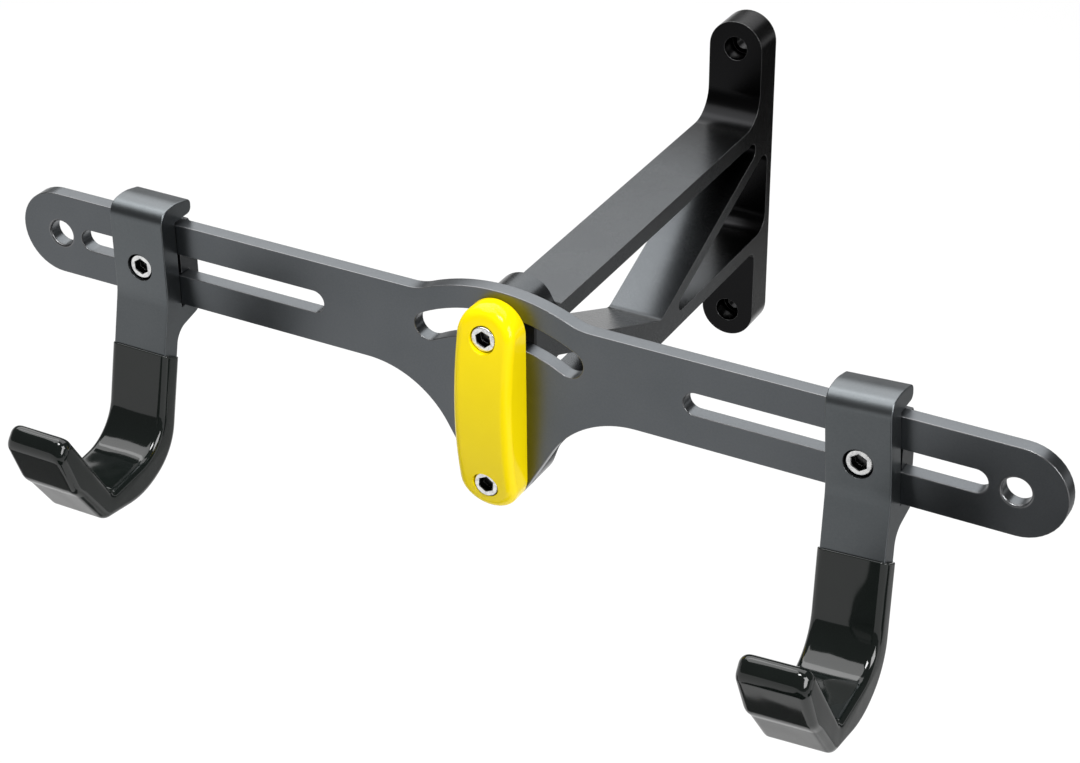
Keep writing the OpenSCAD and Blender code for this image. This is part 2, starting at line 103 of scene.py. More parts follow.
class Value:
    """A node socket that takes part in Python expressions; each operation adds its node."""

    def __init__(self, graph: "Graph", socket: bpy.types.NodeSocket) -> None:
        """Keeps the graph and the output socket that the value stands for."""
        self.graph = graph
        self.socket = socket

    def _math(self, operation: str, *terms: object) -> "Value":
        """Result of a new Math node on those values or links."""
        inputs = dict(enumerate(terms))
        return self.graph.node("ShaderNodeMath", {"operation": operation}, inputs).out(0)

    def __add__(self, other: object) -> "Value":
        """Sum."""
        return self._math("ADD", self, other)

    __radd__ = __add__

    def __mul__(self, other: object) -> "Value":
        """Product."""
        return self._math("MULTIPLY", self, other)

    __rmul__ = __mul__

    def __sub__(self, other: object) -> "Value":
        """Difference."""
        return self._math("SUBTRACT", self, other)

    def __rsub__(self, other: object) -> "Value":
        """Difference with the value on the right."""
        return self._math("SUBTRACT", other, self)

    def __truediv__(self, other: object) -> "Value":
        """Quotient."""
        return self._math("DIVIDE", self, other)

    def sine(self) -> "Value":
        """Sine of an angle in radians."""
        return self._math("SINE", self)

    def cosine(self) -> "Value":
        """Cosine of an angle in radians."""
        return self._math("COSINE", self)

    def root(self) -> "Value":
        """Square root."""
        return self._math("SQRT", self)

    def clamped(self) -> "Value":
        """The value held between 0 and 1."""
        return self._math("MINIMUM", self._math("MAXIMUM", self, 0.0), 1.0)

    def between(self, low: float, high: float) -> "Value":
        """A smooth step of the value.

        Args:
            low: where the step starts.
            high: where it ends.

        Returns:
            0 below low, 1 above high and a smooth rise between them.
        """
        settings = {"interpolation_type": "SMOOTHSTEP"}
        inputs = {"Value": self, "From Min": low, "From Max": high}
        return self.graph.node("ShaderNodeMapRange", settings, inputs).out(0)


class Node:
    """One node of a graph, with its outputs as values."""

    def __init__(self, graph: "Graph", raw: bpy.types.Node) -> None:
        """Keeps the graph and Blender's node."""
        self.graph = graph
        self.raw = raw

    def out(self, key: int | str) -> Value:
        """The output of that number or name, as a value."""
        return Value(self.graph, self.raw.outputs[key])


class Graph:
    """Builds nodes in a tree from their type, settings and inputs."""

    def __init__(self, tree: bpy.types.NodeTree) -> None:
        """Keeps the tree and empties it."""
        self.tree = tree
        tree.nodes.clear()

    def node(self, kind: str, settings: dict, inputs: dict) -> Node:
        """Adds a node.

        Args:
            kind: the node's type.
            settings: its properties, set before its sockets.
            inputs: values or links of its sockets, by number or name.

        Returns:
            The new node.
        """
        raw = self.tree.nodes.new(kind)
        for name, value in settings.items():
            setattr(raw, name, value)
        for key, value in inputs.items():
            for single in value if isinstance(value, list) else [value]:
                if isinstance(single, Value):
                    self.tree.links.new(single.socket, raw.inputs[key])
                else:
                    raw.inputs[key].default_value = single
        return Node(self, raw)


class Shader(Graph):
    """Builds one procedural material on object coordinates."""

    def __init__(self, name: str) -> None:
        """Makes an empty material.

        Args:
            name: the material's name.
        """
        self.material = bpy.data.materials.new(name)
        self.material.use_nodes = True
        super().__init__(self.material.node_tree)
        self.place = self.node("ShaderNodeTexCoord", {}, {}).out("Object")

    def noise(
        self, per_mm: float, detail: float = 2.0, stretch: Sequence[float] = (1, 1, 1)
    ) -> Value:
        """Noise whose cells are 1 / per_mm wide.

        Args:
            per_mm: cells for each millimetre.
            detail: finer layers of the noise.
            stretch: factor on each axis, below 1 where the pattern runs long.

        Returns:
            The noise, about 0.5 in the mean.
        """
        mapping = {"Vector": self.place, "Scale": tuple(stretch)}
        moved = self.node("ShaderNodeMapping", {}, mapping)
        inputs = {"Vector": moved.out(0), "Scale": per_mm / MM, "Detail": detail}
        return self.node("ShaderNodeTexNoise", {}, inputs).out(0)

    def along(self, axis: str) -> Value:
        """The place along one axis, X, Y or Z, in metres."""
        return self.node("ShaderNodeSeparateXYZ", {}, {0: self.place}).out(axis)

    def blend(self, low: object, high: object, factor: Value) -> Value:
        """Mixes two colours, each given as numbers or as a link.

        Args:
            low: colour where the factor is 0.
            high: colour where it is 1.
            factor: the share of the second colour.

        Returns:
            The mixed colour.
        """
        ends = [end if isinstance(end, Value) else (*end, 1.0) for end in (low, high)]
        inputs = {0: factor, 6: ends[0], 7: ends[1]}
        return self.node("ShaderNodeMix", {"data_type": "RGBA"}, inputs).out(2)

    def bump(self, height: Value, depth_mm: float, strength: float = 1.0) -> Value:
        """A normal bent by a relief whose height runs from 0 to 1."""
        inputs = {"Height": height, "Distance": depth_mm * MM, "Strength": strength}
        return self.node("ShaderNodeBump", {}, inputs).out(0)

    def surface(self, **inputs: object) -> bpy.types.Material:
        """Ends the material in one Principled shader.

        Args:
            inputs: its sockets, with underscores for spaces.

        Returns:
            The finished material.
        """
        named = {key.replace("_", " "): value for key, value in inputs.items()}
        shader = self.node("ShaderNodeBsdfPrincipled", {}, named)
        self.node("ShaderNodeOutputMaterial", {}, {"Surface": shader.out(0)})
        return self.material


class ShapeTree(Graph):
    """Builds one Geometry Nodes tree with named inputs for its sizes."""

    KINDS = {
        float: "NodeSocketFloat",
        int: "NodeSocketInt",
        bpy.types.Material: "NodeSocketMaterial",
    }

    def __init__(self, name: str, lengths: dict[str, float], others: dict[str, object]) -> None:
        """Makes the tree and its interface.

        Args:
            name: the tree's name.
            lengths: value of each named length, in millimetres.
            others: value of each other named input.
        """
        tree = bpy.data.node_groups.new(name, "GeometryNodeTree")
        super().__init__(tree)
        self.sizes = {key: value * MM for key, value in lengths.items()} | others
        for way in ("INPUT", "OUTPUT"):
            tree.interface.new_socket("Geometry", in_out=way, socket_type="NodeSocketGeometry")
        for key, value in self.sizes.items():
            kind = next(kind for base, kind in self.KINDS.items() if isinstance(value, base))
            tree.interface.new_socket(key, in_out="INPUT", socket_type=kind)
        self.given = self.node("NodeGroupInput", {}, {})

    def finish(self, shape: Value) -> None:
        """Ends the tree in Realize Instances and Set Material, from the input named Finish.

        Args:
            shape: the geometry.
        """
        real = self.node("GeometryNodeRealizeInstances", {}, {0: shape}).out(0)
        inputs = {"Geometry": real, "Material": self.given.out("Finish")}
        dressed = self.node("GeometryNodeSetMaterial", {}, inputs).out(0)
        self.node("NodeGroupOutput", {}, {0: dressed})

    def grow(self, name: str, points: Sequence[Sequence[float]]) -> bpy.types.Object:
        """Runs the tree on an object whose mesh is a set of points.

        Args:
            name: the piece's name.
            points: places in millimetres.

        Returns:
            The object with a plain mesh.
        """
        mesh = bpy.data.meshes.new(name)
        mesh.from_pydata([Vector(p) * MM for p in points], [], [])
        piece = place_object(name, mesh)
        modifier = piece.modifiers.new("shape", "NODES")
        modifier.node_group = self.tree
        for item in self.tree.interface.items_tree:
            if item.in_out == "INPUT" and item.name in self.sizes:
                modifier[item.identifier] = self.sizes[item.name]
        return bake(piece)


# ---------------------------------------------------------------------- meshes


def place_object(name: str, mesh: bpy.types.Mesh) -> bpy.types.Object:
    """Puts a mesh into the scene as an object at the origin.

    Args:
        name: the object's name.
        mesh: its mesh.

    Returns:
        The new object.
    """
    piece = bpy.data.objects.new(name, mesh)
    bpy.context.scene.collection.objects.link(piece)
    return piece


def flat_sheet(
    name: str, low: tuple[float, float], high: tuple[float, float], height: float
) -> bpy.types.Object:
    """Lays one level rectangle into the scene.

    Args:
        name: its name.
        low: x and y of one corner, in metres.
        high: x and y of the opposite corner.
        height: its z.

    Returns:
        The new object.
    """
    (x0, y0), (x1, y1) = low, high
    corners = [(x0, y0, height), (x1, y0, height), (x1, y1, height), (x0, y1, height)]
    mesh = bpy.data.meshes.new(name)
    mesh.from_pydata(corners, [], [(0, 1, 2, 3)])
    return place_object(name, mesh)


def bake(piece: bpy.types.Object) -> bpy.types.Object:
    """Applies a piece's modifiers, so that it keeps a plain mesh.

    Args:
        piece: the object.

    Returns:
        The same object.
    """
    bpy.context.view_layer.update()
    graph = bpy.context.evaluated_depsgraph_get()
    mesh = bpy.data.meshes.new_from_object(piece.evaluated_get(graph), depsgraph=graph)
    piece.modifiers.clear()
    piece.data = mesh
    return piece


def tidy_mesh(mesh: bpy.types.Mesh) -> None:
    """Merges doubled points and turns every face outwards.

    Args:
        mesh: the mesh.
    """
    work = bmesh.new()
    work.from_mesh(mesh)
    bmesh.ops.remove_doubles(work, verts=work.verts, dist=MERGE_MM * MM)
    bmesh.ops.recalc_face_normals(work, faces=work.faces)
    work.to_mesh(mesh)
    work.free()


@dataclass(frozen=True)
class EdgeBreak:
    """How a piece's edges are broken and its faces shaded; worn edges show a second, lighter
    finish, which is partly wear and partly painted highlight lines.
    """

    width_mm: float = 0.4
    segments: int = 3
    from_deg: float = 32.0
    worn_highlit_edges: bool = False

    def apply(self, piece: bpy.types.Object) -> bpy.types.Object:
        """Breaks the edges and shades flat faces flat.

        Args:
            piece: the object.

        Returns:
            The same object with a plain mesh.
        """
        mesh = piece.data
        mesh.shade_smooth()
        bevel = piece.modifiers.new("broken edges", "BEVEL")
        bevel.width = self.width_mm * MM
        bevel.segments = self.segments
        bevel.limit_method = "ANGLE"
        bevel.angle_limit = math.radians(self.from_deg)
        bevel.use_clamp_overlap = True
        bevel.loop_slide = False
        # The broken edges take the second, lighter finish: partly wear, partly painted highlight
        # lines.
        if self.worn_highlit_edges:
            bevel.material = 1
        shade = piece.modifiers.new("flat faces stay flat", "WEIGHTED_NORMAL")
        shade.mode = "FACE_AREA"
        shade.weight = 50
        shade.keep_sharp = True
        return bake(piece)


def fine_copy(node: str, name: str) -> bpy.types.Object:
    """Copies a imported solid's mesh, merged and with its flat faces whole.

    Args:
        node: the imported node.
        name: the new piece's name.

    Returns:
        The new object, at the origin.
    """
    source = FRAME["nodes"][node]
    work = bmesh.new()
    work.from_mesh(source.data)
    bmesh.ops.transform(work, matrix=source.matrix_world, verts=work.verts)
    bmesh.ops.remove_doubles(work, verts=work.verts, dist=MERGE_MM * MM)
    flat = math.radians(FLAT_DEG)
    bmesh.ops.dissolve_limit(work, angle_limit=flat, verts=work.verts, edges=work.edges)
    mesh = bpy.data.meshes.new(name)
    work.to_mesh(mesh)
    work.free()
    return place_object(name, mesh)


def ring_solid(name: str, rings: Sequence[Sequence[Vector]]) -> bpy.types.Object:
    """Joins rings of equal length into a closed solid.

    Args:
        name: the piece's name.
        rings: points of each ring, in millimetres.

    Returns:
        The new object.
    """
    count = len(rings[0])
    points = [point * MM for ring in rings for point in ring]
    last = (len(rings) - 1) * count
    faces = [list(range(count))[::-1], list(range(last, last + count))]
    for row in range(len(rings) - 1):
        for k in range(count):
            a, b = row * count + k, row * count + (k + 1) % count
            faces.append([a, b, b + count, a + count])
    mesh = bpy.data.meshes.new(name)
    mesh.from_pydata(points, [], faces)
    tidy_mesh(mesh)
    return place_object(name, mesh)


def turned_cutter(
    steps: Sequence[tuple[float, float]], x: float, z: float
) -> bpy.types.Object:
    """A stepped round solid along y, for cutting a hole.

    Args:
        steps: pairs of y and radius, from one end to the other.
        x: place of its axis.
        z: height of its axis.

    Returns:
        The cutter, which cut() removes after use.
    """
    turns = [2 * math.pi * k / CUTTER_SIDES for k in range(CUTTER_SIDES)]
    rings = [
        [Vector((x + r * math.cos(t), y, z + r * math.sin(t))) for t in turns] for y, r in steps
    ]
    return ring_solid("cutter", rings)


def cut(piece: bpy.types.Object, cutters: Sequence[bpy.types.Object]) -> bpy.types.Object:
    """Cuts holes and removes the cutters.

    Args:
        piece: the object.
        cutters: closed solids.

    Returns:
        The same object with a plain mesh.
    """
    for cutter in cutters:
        hole = piece.modifiers.new("hole", "BOOLEAN")
        hole.operation = "DIFFERENCE"
        hole.solver = "EXACT"
        hole.object = cutter
    bake(piece)
    for cutter in cutters:
        bpy.data.objects.remove(cutter)
    return piece


def dress(
    piece: bpy.types.Object, finish: "Finish", body: str, *nodes: str
) -> bpy.types.Object:
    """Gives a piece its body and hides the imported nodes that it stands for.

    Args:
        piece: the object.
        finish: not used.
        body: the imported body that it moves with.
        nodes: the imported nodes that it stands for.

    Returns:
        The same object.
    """
    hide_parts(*nodes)
    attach(piece, body)
    LOG.info("%s: %d faces, rides %s", piece.name, len(piece.data.polygons), body)
    return piece


# -------------------------------------------------------------------- finishes


@dataclass(frozen=True)
class Finish:
    """What every finish has: its name, the record's slot and its range of colour."""

    name: str
    slot: str
    dark: Colour
    light: Colour
    roughness: float

    def material(self) -> bpy.types.Material:
        """Builds the finish."""
        raise NotImplementedError


@dataclass(frozen=True)
class SatinCoat(Finish):
    """Dark satin coating on an extruded or sawn profile, with its fine powder grain and, where
    given, a painted shade that darkens it towards the wall.
    """

    grain_mm: float = 0.25
    relief_mm: float = 0.010
    painted_wall_shade: Colour | None = None
    wall_shade_from_m: float = -0.075
    wall_shade_to_m: float = -0.015

    def material(self) -> bpy.types.Material:
        """Builds the finish.

        Returns:
            The material.
        """
        shader = Shader(self.name)
        cloud = shader.noise(0.03, 3.0)
        grain = shader.noise(1.0 / self.grain_mm, 2.0)
        drawn = shader.noise(1.2, 3.0)
        share = (cloud * 0.5 + grain * 0.25 + drawn * 0.25).between(0.3, 0.7)
        colour = shader.blend(self.dark, self.light, share)
        # Painted shade: the base colour darkens towards the wall, where the bracket lies in shade.
        if self.painted_wall_shade:
            wall_shade_share = shader.along("Y").between(self.wall_shade_from_m, self.wall_shade_to_m)
            colour = shader.blend(colour, self.painted_wall_shade, wall_shade_share)
        rough = self.roughness - 0.05 + 0.10 * cloud + 0.05 * (grain - 0.5)
        normal = shader.bump(grain * 0.7 + drawn * 0.3, self.relief_mm)
        return shader.surface(Base_Color=colour, Roughness=rough, Metallic=1.0, Normal=normal)


@dataclass(frozen=True)
class DippedCoat(Finish):
    """Thick glossy coating from a dip, slightly wavy where it ran."""

    sag_mm: float = 0.35

    def material(self) -> bpy.types.Material:
        """Builds the finish.

        Returns:
            The material.
        """
        shader = Shader(self.name)
        cloud = shader.noise(0.05, 2.0)
        sag = shader.noise(0.07, 1.0, (1.0, 1.0, 0.6))
        speck = shader.noise(2.5, 2.0)
        colour = shader.blend(self.dark, self.light, cloud)
        rough = self.roughness + 0.05 * cloud + 0.03 * (speck - 0.5)
        normal = shader.bump(sag, self.sag_mm, 0.8)
        return shader.surface(Base_Color=colour, Roughness=rough, Normal=normal)


@dataclass(frozen=True)
class GlossPaint(Finish):
    """Bright paint with a soft orange peel."""

    specular: float = 0.20
    peel_mm: float = 0.015

    def material(self) -> bpy.types.Material:
        """Builds the finish.

        Returns:
            The material.
        """
        shader = Shader(self.name)
        cloud = shader.noise(0.06, 2.0)
        peel = shader.noise(0.8, 2.0)
        speck = shader.noise(4.0, 1.0)
        colour = shader.blend(self.dark, self.light, cloud)
        rough = self.roughness + 0.05 * (cloud - 0.5) + 0.03 * (speck - 0.5)
        normal = shader.bump(peel, self.peel_mm, 0.5)
        return shader.surface(
            Base_Color=colour, Roughness=rough, Normal=normal, Specular_IOR_Level=self.specular
        )


@dataclass(frozen=True)
class PlatedSteel(Finish):
    """Bright zinc plating with fine turning marks and a few dull spots."""

    marks_mm: float = 0.012

    def material(self) -> bpy.types.Material:
        """Builds the finish.

        Returns:
            The material.
        """
        shader = Shader(self.name)
        spots = shader.noise(0.7, 3.0)
        fine = shader.noise(6.0, 2.0)
        share = (spots * 0.7 + fine * 0.3).between(0.35, 0.6)
        colour = shader.blend(self.dark, self.light, share)
        rough = self.roughness + 0.12 * spots
        normal = shader.bump(fine * 0.5 + spots * 0.5, self.marks_mm)
        return shader.surface(Base_Color=colour, Roughness=rough, Metallic=1.0, Normal=normal)


@dataclass(frozen=True)
class PadRubber(Finish):
    """Matte black pad with a coarse moulded grain."""

    relief_mm: float = 0.05

    def material(self) -> bpy.types.Material:
        """Builds the finish.

        Returns:
            The material.
        """
        shader = Shader(self.name)
        grain = shader.noise(2.2, 3.0)
        colour = shader.blend(self.dark, self.light, shader.noise(0.1, 2.0))
        rough = self.roughness + 0.15 * (grain - 0.5)
        normal = shader.bump(grain, self.relief_mm, 0.8)
        return shader.surface(Base_Color=colour, Roughness=rough, Normal=normal)


# The bracket's coat darkens towards the wall: painted shade.
BRACKET_COAT = SatinCoat(
    "bracket_coat", "bracket_finish", (0.057, 0.061, 0.065), (0.076, 0.081, 0.085), 0.27,
    painted_wall_shade=(0.012, 0.012, 0.0125),
)
# The edge finishes are lighter than their coats: partly wear, partly painted highlight lines along
# the broken edges.
BRACKET_WORN_HIGHLIT_EDGE = SatinCoat(
    "bracket_edge_wear_and_highlight", "bracket_finish", (0.10, 0.102, 0.105), (0.20, 0.20, 0.20), 0.28
)
BAR_COAT = SatinCoat("bar_coat", "bar_finish", (0.103, 0.111, 0.118), (0.128, 0.136, 0.144), 0.31)
BAR_WORN_HIGHLIT_EDGE = SatinCoat("bar_edge_wear_and_highlight", "bar_finish", (0.15, 0.155, 0.16), (0.20, 0.20, 0.205), 0.30)
HOOK_COAT = SatinCoat(
    "hook_coat", "hook_finish", (0.113, 0.123, 0.129), (0.140, 0.150, 0.157), 0.35
)
HOOK_WORN_HIGHLIT_EDGE = SatinCoat("hook_edge_wear_and_highlight", "hook_finish", (0.13, 0.135, 0.14), (0.18, 0.18, 0.185), 0.33)
CLAMP_COAT = SatinCoat(
    "clamp_coat", "clamp_plate_finish", (0.05, 0.053, 0.056), (0.075, 0.078, 0.081), 0.36
)
DIP = DippedCoat(
    "dipped_gloss", "dip_coating", (0.0025, 0.0040, 0.0034), (0.0055, 0.0078, 0.0068), 0.05
)
COVER_PAINT = GlossPaint(
    "cover_gloss", "cover_paint", (0.92, 0.70, 0.0010), (0.96, 0.75, 0.0012), 0.15
)
SCREW_STEEL = PlatedSteel(
    "screw_plating", "screw_steel", (0.60, 0.60, 0.61), (0.86, 0.86, 0.85), 0.20
)
# Painted shade: a dark finish for the faces inside the hex sockets, where the recess lies in shade.
SOCKET_PAINTED_SHADE = PlatedSteel(
    "socket_shade", "screw_steel", (0.008, 0.008, 0.008), (0.07, 0.07, 0.07), 0.18
)
BUSH_STEEL = PlatedSteel(
    "bush_plating", "bush_steel", (0.28, 0.28, 0.29), (0.42, 0.42, 0.43), 0.35
)
PAD = PadRubber(
    "pad_grain", "pad_rubber", (0.006, 0.006, 0.006), (0.014, 0.014, 0.0145), 0.72
)
FINISHES = (
    BRACKET_COAT, BRACKET_WORN_HIGHLIT_EDGE, BAR_COAT, BAR_WORN_HIGHLIT_EDGE, HOOK_COAT, HOOK_WORN_HIGHLIT_EDGE, CLAMP_COAT, DIP,
    COVER_PAINT, SCREW_STEEL, SOCKET_PAINTED_SHADE, BUSH_STEEL, PAD,
)


def wear(piece: bpy.types.Object, *finishes: Finish) -> bpy.types.Object:
    """Gives a piece its materials.

    Args:
        piece: the object.
        finishes: the first for its faces, the second for its edges, lighter as wear and painted
            highlight, or for its sockets, darker as painted shade.

    Returns:
        The same object.
    """
    piece.data.materials.clear()
    for finish in finishes:
        piece.data.materials.append(MATERIALS[finish.name])
    return piece


# ------------------------------------------------------------- outlines of the hook


@dataclass(frozen=True)
class Corner:
    """One corner of an outline and its rounding radius."""

    at: Vector
    radius: float


def side_of(way: Vector) -> Vector:
    """Left-hand normal of a direction."""
    return Vector((-way.y, way.x))


def heading(angle_deg: float) -> Vector:
    """Unit vector at that angle from level."""
    return Vector((math.cos(math.radians(angle_deg)), math.sin(math.radians(angle_deg))))


def meet(p: Vector, u: Vector, q: Vector, v: Vector) -> Vector:
    """Where the line through p along u meets the line through q along v."""
    return p + u * ((q - p).dot(side_of(v)) / u.dot(side_of(v)))


def rounded(corners: Sequence[Corner]) -> list[Vector]:
    """Closed outline from corners.

    Args:
        corners: the corners in order.

    Returns:
        Its points; outlines grown from the same corners have the same number.
    """
    points: list[Vector] = []
    for k, corner in enumerate(corners):
        before, after = corners[k - 1].at, corners[(k + 1) % len(corners)].at
        u, v = (before - corner.at).normalized(), (after - corner.at).normalized()
        half = math.acos(max(-1.0, min(1.0, u.dot(v)))) / 2
        steps = max(2, math.ceil((180 - math.degrees(2 * half)) / CORNER_STEP_DEG))
        radius = corner.radius
        if radius <= 0.0:
            points.append(corner.at.copy())
            continue
        centre = corner.at + (u + v).normalized() * (radius / math.sin(half))
        first = corner.at + u * (radius / math.tan(half)) - centre
        last = corner.at + v * (radius / math.tan(half)) - centre
        start = math.atan2(first.y, first.x)
        turn = (math.atan2(last.y, last.x) - start + 3 * math.pi) % (2 * math.pi) - math.pi
        for step in range(steps + 1):
            angle = start + turn * step / steps
            points.append(centre + radius * Vector((math.cos(angle), math.sin(angle))))
    return points


def grown(corners: Sequence[Corner], by: float) -> list[Corner]:
    """The same corners with every edge moved out.

    Args:
        corners: corners that run clockwise.
        by: how far out; negative is inwards.

    Returns:
        The moved corners.
    """
    moved: list[Corner] = []
    for k, corner in enumerate(corners):
        u = (corner.at - corners[k - 1].at).normalized()
        v = (corners[(k + 1) % len(corners)].at - corner.at).normalized()
        bend = u.x * v.y - u.y * v.x
        out = (side_of(u) + side_of(v)) / (1 + u.dot(v))
        radius = corner.radius + (by if bend < 0 else -by) if corner.radius > 0 else 0.0
        moved.append(Corner(corner.at + out * by, radius))
    return moved


@dataclass
class HookShape:
    """Measures of a hook, in a frame on the bar's front face and centre line.

    Its outlines run in y towards the wall and z upwards. The crown is the top lip's rise at its
    front, its crest and its back. A crease is a corner on the front arm's outer face: how far along
    the arm from the tip, how far out past its thickness, and its radius. The tip's corners are
    pulled in over tip_fade, which ends tip_reach from the tip.
    """

    width: float = 24.5
    side_edge: float = 0.5
    wall: float = 8.9
    bar_half: float = 17.5
    bar_gap: float = 0.1
    lip_play: float = 1.0
    lip_t: float = 6.0
    crest_y: float = 0.8
    crown: tuple[float, float, float] = (0.6, 2.0, -0.4)
    nose_y: float = 10.9
    low_lip_deg: float = 13.0
    shin_rise: float = 6.5
    stem_t: float = 8.5
    stem_lean: float = 12.9
    cup_drop: float = 84.5
    cup_reach: float = 83.3
    belly_in: float = 48.3
    belly_sag: float = 2.1
    belly_deg: float = 26.3
    floor_deg: float = 6.0
    arm_angle: float = 59.1
    arm_t: float = 9.0
    arm_len: float = 45.2
    heel: float = 4.2
    creases: tuple[tuple[float, float, float], ...] = (
        (28.3, 1.4, 7), (23.2, 2.5, 11), (3.1, -1.2, 6),
    )
    tip_in: float = 5.1
    tip_rise: float = 48.3
    tip_corner: float = 4.0
    tip_reach: float = 13.0
    tip_fade: float = 9.0
    coat_t: float = 0.8
    coat_side: float = 1.4
    coat_edge: float = 3.2
    coat_slope: float = 28.0
    coat_lip_r: float = 0.45
    coat_lip_corner: float = 0.5
    dip_edge: tuple[float, float] = (-14.4, -33.8)

    def __post_init__(self) -> None:
        """Works out the lines that the outlines share."""
        self.lip_z = self.bar_half + self.lip_play
        lean = math.radians(self.stem_lean)
        self.down = Vector((-math.sin(lean), -math.cos(lean)))
        self.shin = Vector((-self.wall, self.shin_rise - self.lip_z))
        self.calf = self.shin + side_of(self.down) * self.stem_t
        self.tip = Vector((self.tip_in - self.cup_reach, self.tip_rise - self.cup_drop))
        self.arm = heading(-self.arm_angle)

    def on_arm(self, along: float, out: float) -> Vector:
        """A point that far along the front arm from its tip, and that far out of its inner face."""
        return self.tip + along * self.arm - out * side_of(self.arm)

    def cup(self) -> list[Corner]:
        """Outline of the cup.

        Returns:
            Its corners, clockwise from the back of the stem.
        """
        belly = Vector((self.belly_in - self.cup_reach, -self.cup_drop - self.belly_sag))
        crotch = self.on_arm(self.arm_len, 0)
        return [
            Corner(meet(self.calf, self.down, belly, heading(self.belly_deg)), 24),
            Corner(belly, 32),
            Corner(self.on_arm(self.arm_len + self.heel, self.arm_t), 6),
            *(Corner(self.on_arm(at, self.arm_t + out), r) for at, out, r in self.creases),
            Corner(self.tip, 2.5),
            Corner(crotch, 3.5),
            Corner(meet(self.shin, self.down, crotch, heading(self.floor_deg)), 20),
        ]

    def metal(self) -> list[Corner]:
        """Outline of the whole profile.

        Returns:
            Its corners, clockwise from the top front.
        """
        lip, top = self.lip_z, self.lip_z + self.lip_t
        front_up, crest_up, back_up = self.crown
        nose_r = self.lip_t / 2 - 0.05
        low = Vector((self.nose_y, -top))
        return [
            Corner(Vector((-self.wall, top + front_up)), 6.0),
            Corner(Vector((self.crest_y, top + crest_up)), 22.0),
            Corner(Vector((self.nose_y, top + back_up)), 2.4),
            Corner(Vector((self.nose_y, lip)), 2.6),
            Corner(Vector((-self.bar_gap, lip)), 0),
            Corner(Vector((-self.bar_gap, -lip)), 0),
            Corner(Vector((self.nose_y, -lip)), nose_r),
            Corner(low, nose_r),
            Corner(meet(low, heading(self.low_lip_deg), self.calf, self.down), 8),
            *self.cup(),
            Corner(self.shin, 30),
        ]

    def dipped(self, by: float, sink: float) -> list[Corner]:
        """Outline of the coated part.

        Args:
            by: how far its faces stand out from the metal.
            sink: how far its upper edge is taken down.

        Returns:
            Its corners, clockwise from the upper edge at the back.
        """
        slope = heading(-self.coat_slope)
        edge = Vector(self.dip_edge) + side_of(slope) * -sink
        ends = [meet(line, self.down, edge, slope) for line in (self.calf, self.shin)]
        body = grown([Corner(ends[0], 0), *self.cup(), Corner(ends[1], 0)], by)
        first = meet(body[1].at, self.down, edge, slope)
        last = meet(body[-2].at, self.down, edge, slope)
        return [Corner(first, self.coat_lip_r), *body[1:-1], Corner(last, self.coat_lip_r)]

    def ring(self, outline: Sequence[Vector], x: float, pull: float) -> list[Vector]:
        """An outline at one place across the hook, its tip pulled in.

        Args:
            outline: points in y and z.
            x: place across the hook.
            pull: how far the tip is pulled down along the arm.

        Returns:
            Points in the hook's frame.
        """
        points = []
        for point in outline:
            near = (self.tip_reach - (point - self.tip).length) / self.tip_fade
            share = max(0.0, min(1.0, near))
            share = share * share * (3 - 2 * share)
            moved = point + self.arm * (pull * share)
            points.append(Vector((x, moved.x, moved.y)))
        return points

    def stations(self, half: float, edge: float, tip: float) -> list[tuple[float, float, float]]:
        """Places across the hook for its rings.

        Args:
            half: half of the width.
            edge: rounding radius of the side edges.
            tip: radius of the tip's corners.

        Returns:
            For each ring its x, how far its outline shrinks and how far its tip is pulled in.
        """
        steps = [math.sin(math.radians(turn)) for turn in range(0, 100, 10)]
        places = {round(half - radius * (1 - s), 5) for s in steps for radius in (edge, tip)}
        places |= {0.0, half / 3}
        rows = []
        for x in sorted(places):
            shrink = edge - math.sqrt(max(0.0, edge**2 - max(0.0, x - half + edge) ** 2))
            corner = tip - math.sqrt(max(0.0, tip**2 - max(0.0, x - half + tip) ** 2))
            rows.append((x, shrink, max(0.0, corner - shrink)))
        return [(-x, s, p) for x, s, p in reversed(rows[1:])] + rows


# ---------------------------------------------------------------- sub-assemblies


